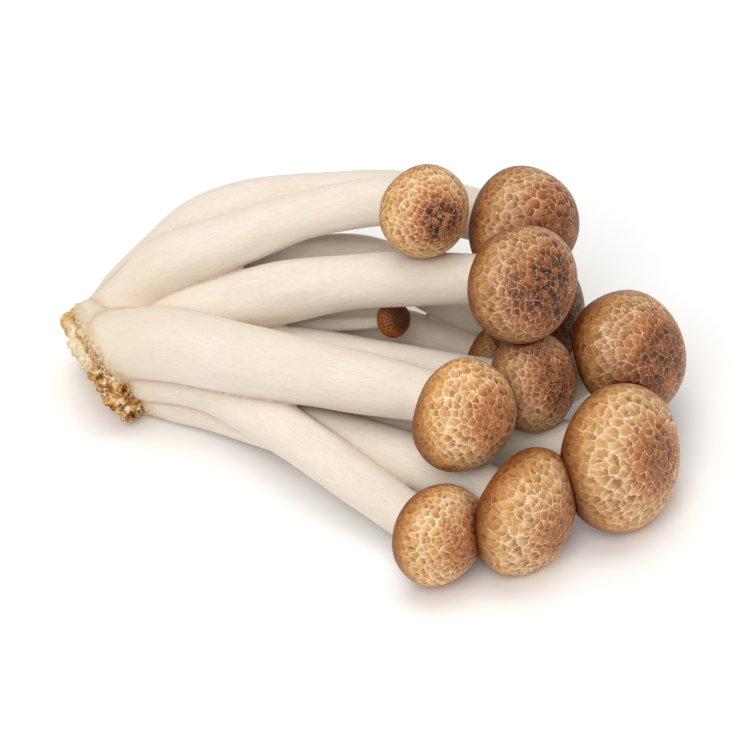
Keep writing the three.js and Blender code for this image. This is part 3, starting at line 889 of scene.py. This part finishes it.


# Stem flesh: cream, with very fine fibres along each stem and warmer near the foot, with painted warm shade
# in the creases between stems.
def flesh_material():
    paint = Paint("stem_flesh")
    fibre = paint.attribute("fibre", "Vector")
    crease_shade, root, cut = paint.attribute("crease_shade"), paint.attribute("root"), paint.attribute("cut")
    threads = paint.noise(paint.place(fibre, (1.0, 1.0, 0.1)), 4.2, 5.0, 0.65)
    hairs = paint.noise(paint.place(fibre, (1.0, 1.0, 0.08)), 13.0, 4.0, 0.7)
    clouds = paint.noise(paint.place(fibre, (1.0, 1.0, 0.3)), 0.4, 3.0, 0.55)
    colour = paint.mix(paint.span(clouds, 0.35, 0.7), tint(235, 225, 213), tint(230, 218, 203))
    colour = paint.mix(paint.span(threads, 0.38, 0.66, 0.0, 0.5), colour, tint(222, 204, 182))
    colour = paint.mix(paint.span(hairs, 0.4, 0.66, 0.0, 0.5), colour, tint(245, 237, 226))
    colour = paint.mix(paint.span(root, 0.0, 1.0, 0.0, 0.35), colour, tint(230, 212, 184))
    # Painted shade: the creases where stems meet are darkened to a warm tan.
    colour = paint.mix(paint.product(crease_shade, 0.75), colour, tint(208, 172, 134))
    stain = paint.noise(fibre, 0.9, 4.0, 0.65)
    colour = paint.mix(paint.product(cut, 0.8), colour, tint(222, 200, 160))
    seam = paint.math("ABSOLUTE", paint.math("SUBTRACT", stain, 0.5))
    seam = paint.product(paint.span(seam, 0.03, 0.0), paint.span(cut, 0.05, 0.7))
    colour = paint.mix(paint.product(seam, 0.7), colour, tint(176, 120, 56))
    edge = paint.product(paint.span(cut, 0.8, 1.0), paint.span(stain, 0.46, 0.6))
    colour = paint.mix(edge, colour, tint(170, 106, 40))
    height = paint.math("ADD", paint.product(threads, 0.7), paint.product(hairs, 0.5))
    normal = paint.bump(height, 0.6, 0.00014)
    paint.shade(Base_Color=colour, Roughness=0.6, Normal=normal, Subsurface_Weight=0.4,
                Subsurface_Radius=(0.003, 0.002, 0.0014), Subsurface_Scale=1.0, Specular_IOR_Level=0.25)
    return paint.material


def gill_material():
    paint = Paint("gills")
    valley_shade, streak = paint.attribute("valley_shade"), paint.attribute("streak", "Vector")
    streaks = paint.noise(paint.place(streak, (1.0, 1.0, 0.4)), 1.5, 3.0, 0.6)
    colour = paint.mix(paint.span(streaks, 0.3, 0.7), tint(240, 224, 198), tint(226, 200, 164))
    # Painted shade between the gills and on the ceiling above them.
    colour = paint.mix(paint.product(valley_shade, 0.7), colour, tint(196, 160, 116))
    normal = paint.bump(streaks, 0.3, 0.00008)
    paint.shade(Base_Color=colour, Roughness=0.62, Normal=normal, Subsurface_Weight=0.2,
                Subsurface_Radius=(0.0012, 0.0008, 0.0005), Subsurface_Scale=1.0, Specular_IOR_Level=0.3)
    return paint.material


# Growing medium: golden crumbs with painted shade in their hollows, and on one side pale flakes with golden
# seams.
def crust_material():
    paint = Paint("crust")
    where = paint.node("ShaderNodeTexCoord", {}).outputs["Object"]
    pale, hollow_shade, gold = paint.attribute("pale"), paint.attribute("hollow_shade"), paint.attribute("gold")
    crumbs = paint.voronoi(where, 700.0, "F1", "Color", dimensions="3D")
    crumbs = paint.node("ShaderNodeSeparateColor", {"Color": crumbs}).outputs["Red"]
    clouds = paint.noise(where, 520.0, 5.0, 0.65)
    dots = paint.noise(where, 1300.0, 3.0, 0.6)
    colour = paint.mix(crumbs, tint(186, 122, 54), tint(222, 168, 92))
    colour = paint.mix(paint.span(clouds, 0.5, 0.58, 0.0, 0.9), colour, tint(244, 226, 192))
    colour = paint.mix(paint.span(clouds, 0.46, 0.38, 0.0, 0.85), colour, tint(126, 72, 26))
    # Painted shade: the hollows between the crumbs are darkened.
    colour = paint.mix(paint.product(hollow_shade, 0.85), colour, tint(72, 38, 16))
    colour = paint.mix(paint.span(dots, 0.58, 0.64, 0.0, 0.9), colour, tint(38, 22, 14))
    flakes = paint.mix(paint.span(clouds, 0.4, 0.6), tint(240, 228, 204), tint(230, 210, 170))
    golden = paint.mix(paint.span(clouds, 0.4, 0.6), tint(232, 208, 160), tint(212, 164, 84))
    flakes = paint.mix(gold, flakes, golden)
    seam = paint.math("ABSOLUTE", paint.math("SUBTRACT", clouds, 0.5))
    seam = paint.product(paint.span(seam, 0.025, 0.0), paint.span(gold, 0.0, 1.0, 0.3, 0.85))
    flakes = paint.mix(seam, flakes, tint(176, 112, 40))
    # Painted shade in the hollows of the pale flakes.
    flakes = paint.mix(paint.product(hollow_shade, 0.5), flakes, tint(196, 142, 76))
    colour = paint.mix(pale, colour, flakes)
    normal = paint.bump(paint.math("ADD", clouds, dots), 0.5, 0.0002)
    paint.shade(Base_Color=colour, Roughness=0.62, Normal=normal, Subsurface_Weight=0.15,
                Subsurface_Radius=(0.001, 0.0006, 0.0003), Subsurface_Scale=1.0, Specular_IOR_Level=0.35)
    return paint.material


cap_skin, stem_flesh, gills, crust = cap_material(), flesh_material(), gill_material(), crust_material()
for index, mushroom in enumerate(MUSHROOMS):
    build_cap(mushroom, MUSHROOMS[:index], cap_skin)
    if mushroom["radius"] >= BUTTON:
        build_gills(mushroom, MUSHROOMS[:index], gills)
build_flesh(stem_flesh)
build_crust(crust)


# The stage: a pale floor, a soft light overhead, and a broader and stronger one in front.
def build_floor():
    mesh = bpy.data.meshes.new("floor")
    mesh.from_pydata([(-3, -3, 0), (3, -3, 0), (3, 3, 0), (-3, 3, 0)], [], [(0, 1, 2, 3)])
    paint = Paint("floor")
    grain = paint.noise(paint.node("ShaderNodeTexCoord", {}).outputs["Object"], 3.0)
    paint.shade(Base_Color=paint.mix(grain, (0.98, 0.98, 0.98, 1), (0.99, 0.99, 0.99, 1)), Roughness=0.9,
                Specular_IOR_Level=0.1)
    mesh.materials.append(paint.material)
    floor = bpy.data.objects.new("floor", mesh)
    bpy.context.scene.collection.objects.link(floor)


def add_light(name, at, aim, size, watts):
    light = bpy.data.lights.new(name, "AREA")
    light.shape = "SQUARE"
    light.size = size
    light.energy = watts
    lamp = bpy.data.objects.new(name, light)
    lamp.location = at
    lamp.rotation_mode = "QUATERNION"
    lamp.rotation_quaternion = (Vector(aim) - Vector(at)).to_track_quat("-Z", "Y")
    bpy.context.scene.collection.objects.link(lamp)


def build_stage():
    build_floor()
    add_light("overhead", (-0.12, 0.12, 1.1), (0, 0, 0), 0.6, 4.0)
    add_light("front", (-0.25, -0.78, 1.18), (0, 0, 0.01), 0.8, 8.4)
    world = bpy.data.worlds.new("studio")
    world.use_nodes = True
    world.node_tree.nodes["Background"].inputs["Color"].default_value = (1.0, 0.98, 0.95, 1)
    world.node_tree.nodes["Background"].inputs["Strength"].default_value = 0.5
    bpy.context.scene.world = world
    bpy.context.scene.view_settings.view_transform = "Standard"


# The camera looks straight at the broad face.
CAMERA_AWAY = 0.6
VIEW_WIDTH = 0.75 / 6.3


def build_camera():
    camera = bpy.data.cameras.new("camera")
    camera.sensor_width = 36
    camera.lens = 36 * CAMERA_AWAY / VIEW_WIDTH
    holder = bpy.data.objects.new("camera", camera)
    back = Vector((0, -math.sin(LEAN), math.cos(LEAN)))
    holder.location = Vector(FACE_ORIGIN * MM) + back * CAMERA_AWAY
    holder.rotation_mode = "QUATERNION"
    holder.rotation_quaternion = (-back).to_track_quat("-Z", "Y")
    bpy.context.scene.collection.objects.link(holder)
    bpy.context.scene.camera = holder


build_stage()
build_camera()
